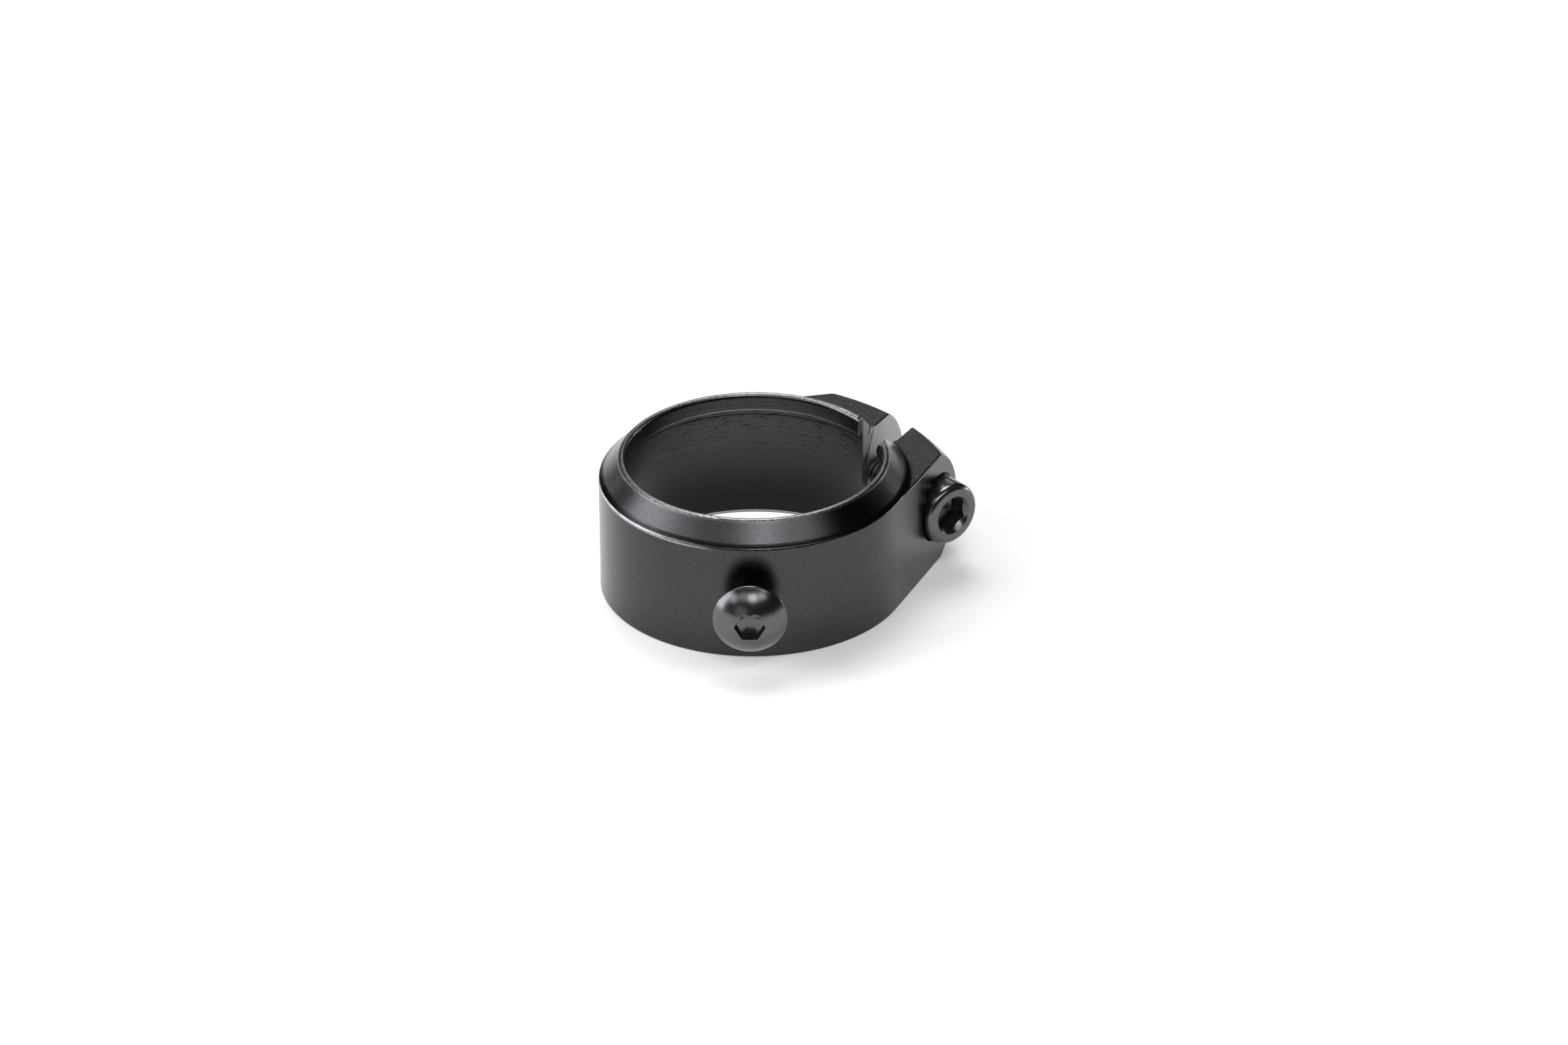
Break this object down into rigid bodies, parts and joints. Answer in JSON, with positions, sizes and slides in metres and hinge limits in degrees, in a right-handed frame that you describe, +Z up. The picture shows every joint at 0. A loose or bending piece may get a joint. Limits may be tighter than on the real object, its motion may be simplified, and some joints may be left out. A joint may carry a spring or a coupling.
{
  "type": "seatpost clamp",
  "caption": "Ring clamp for a bicycle seat tube: lipped bore, slotted ears, a socket head pinch bolt and a button head bolt in the wall.",
  "frame": {"origin": "on the bore's axis, level with the underside of the lip, where the end of the frame's tube stops; the clamp's base is 16.2 mm below it", "axes": "+Z up along the bore, the way the seat post leaves; +Y through the middle of the two ears; +X along the pinch bolt towards its head"},
  "size_m": [0.042, 0.0481, 0.0185],
  "materials": {
    "anodised_aluminium": "black anodised, satin",
    "black_oxide_steel": "black oxide, semi-gloss"
  },
  "bodies": {
    "ring": {"clamp_ring": "anodised_aluminium"},
    "pinch_screw": {"pinch_bolt": "black_oxide_steel"},
    "button_screw": {"button_bolt": "black_oxide_steel"}
  },
  "joints": [
    {"name": "pinch_bolt_turn", "type": "hinge", "parent": "ring", "child": "pinch_screw", "pos_m": [0, 0.0214, -0.0079], "axis": [1, 0, 0], "continuous": true},
    {"name": "button_bolt_turn", "type": "hinge", "parent": "ring", "child": "button_screw", "pos_m": [0.01532, -0.01286, -0.00845], "axis": [0.766, -0.6428, 0], "continuous": true}
  ]
}
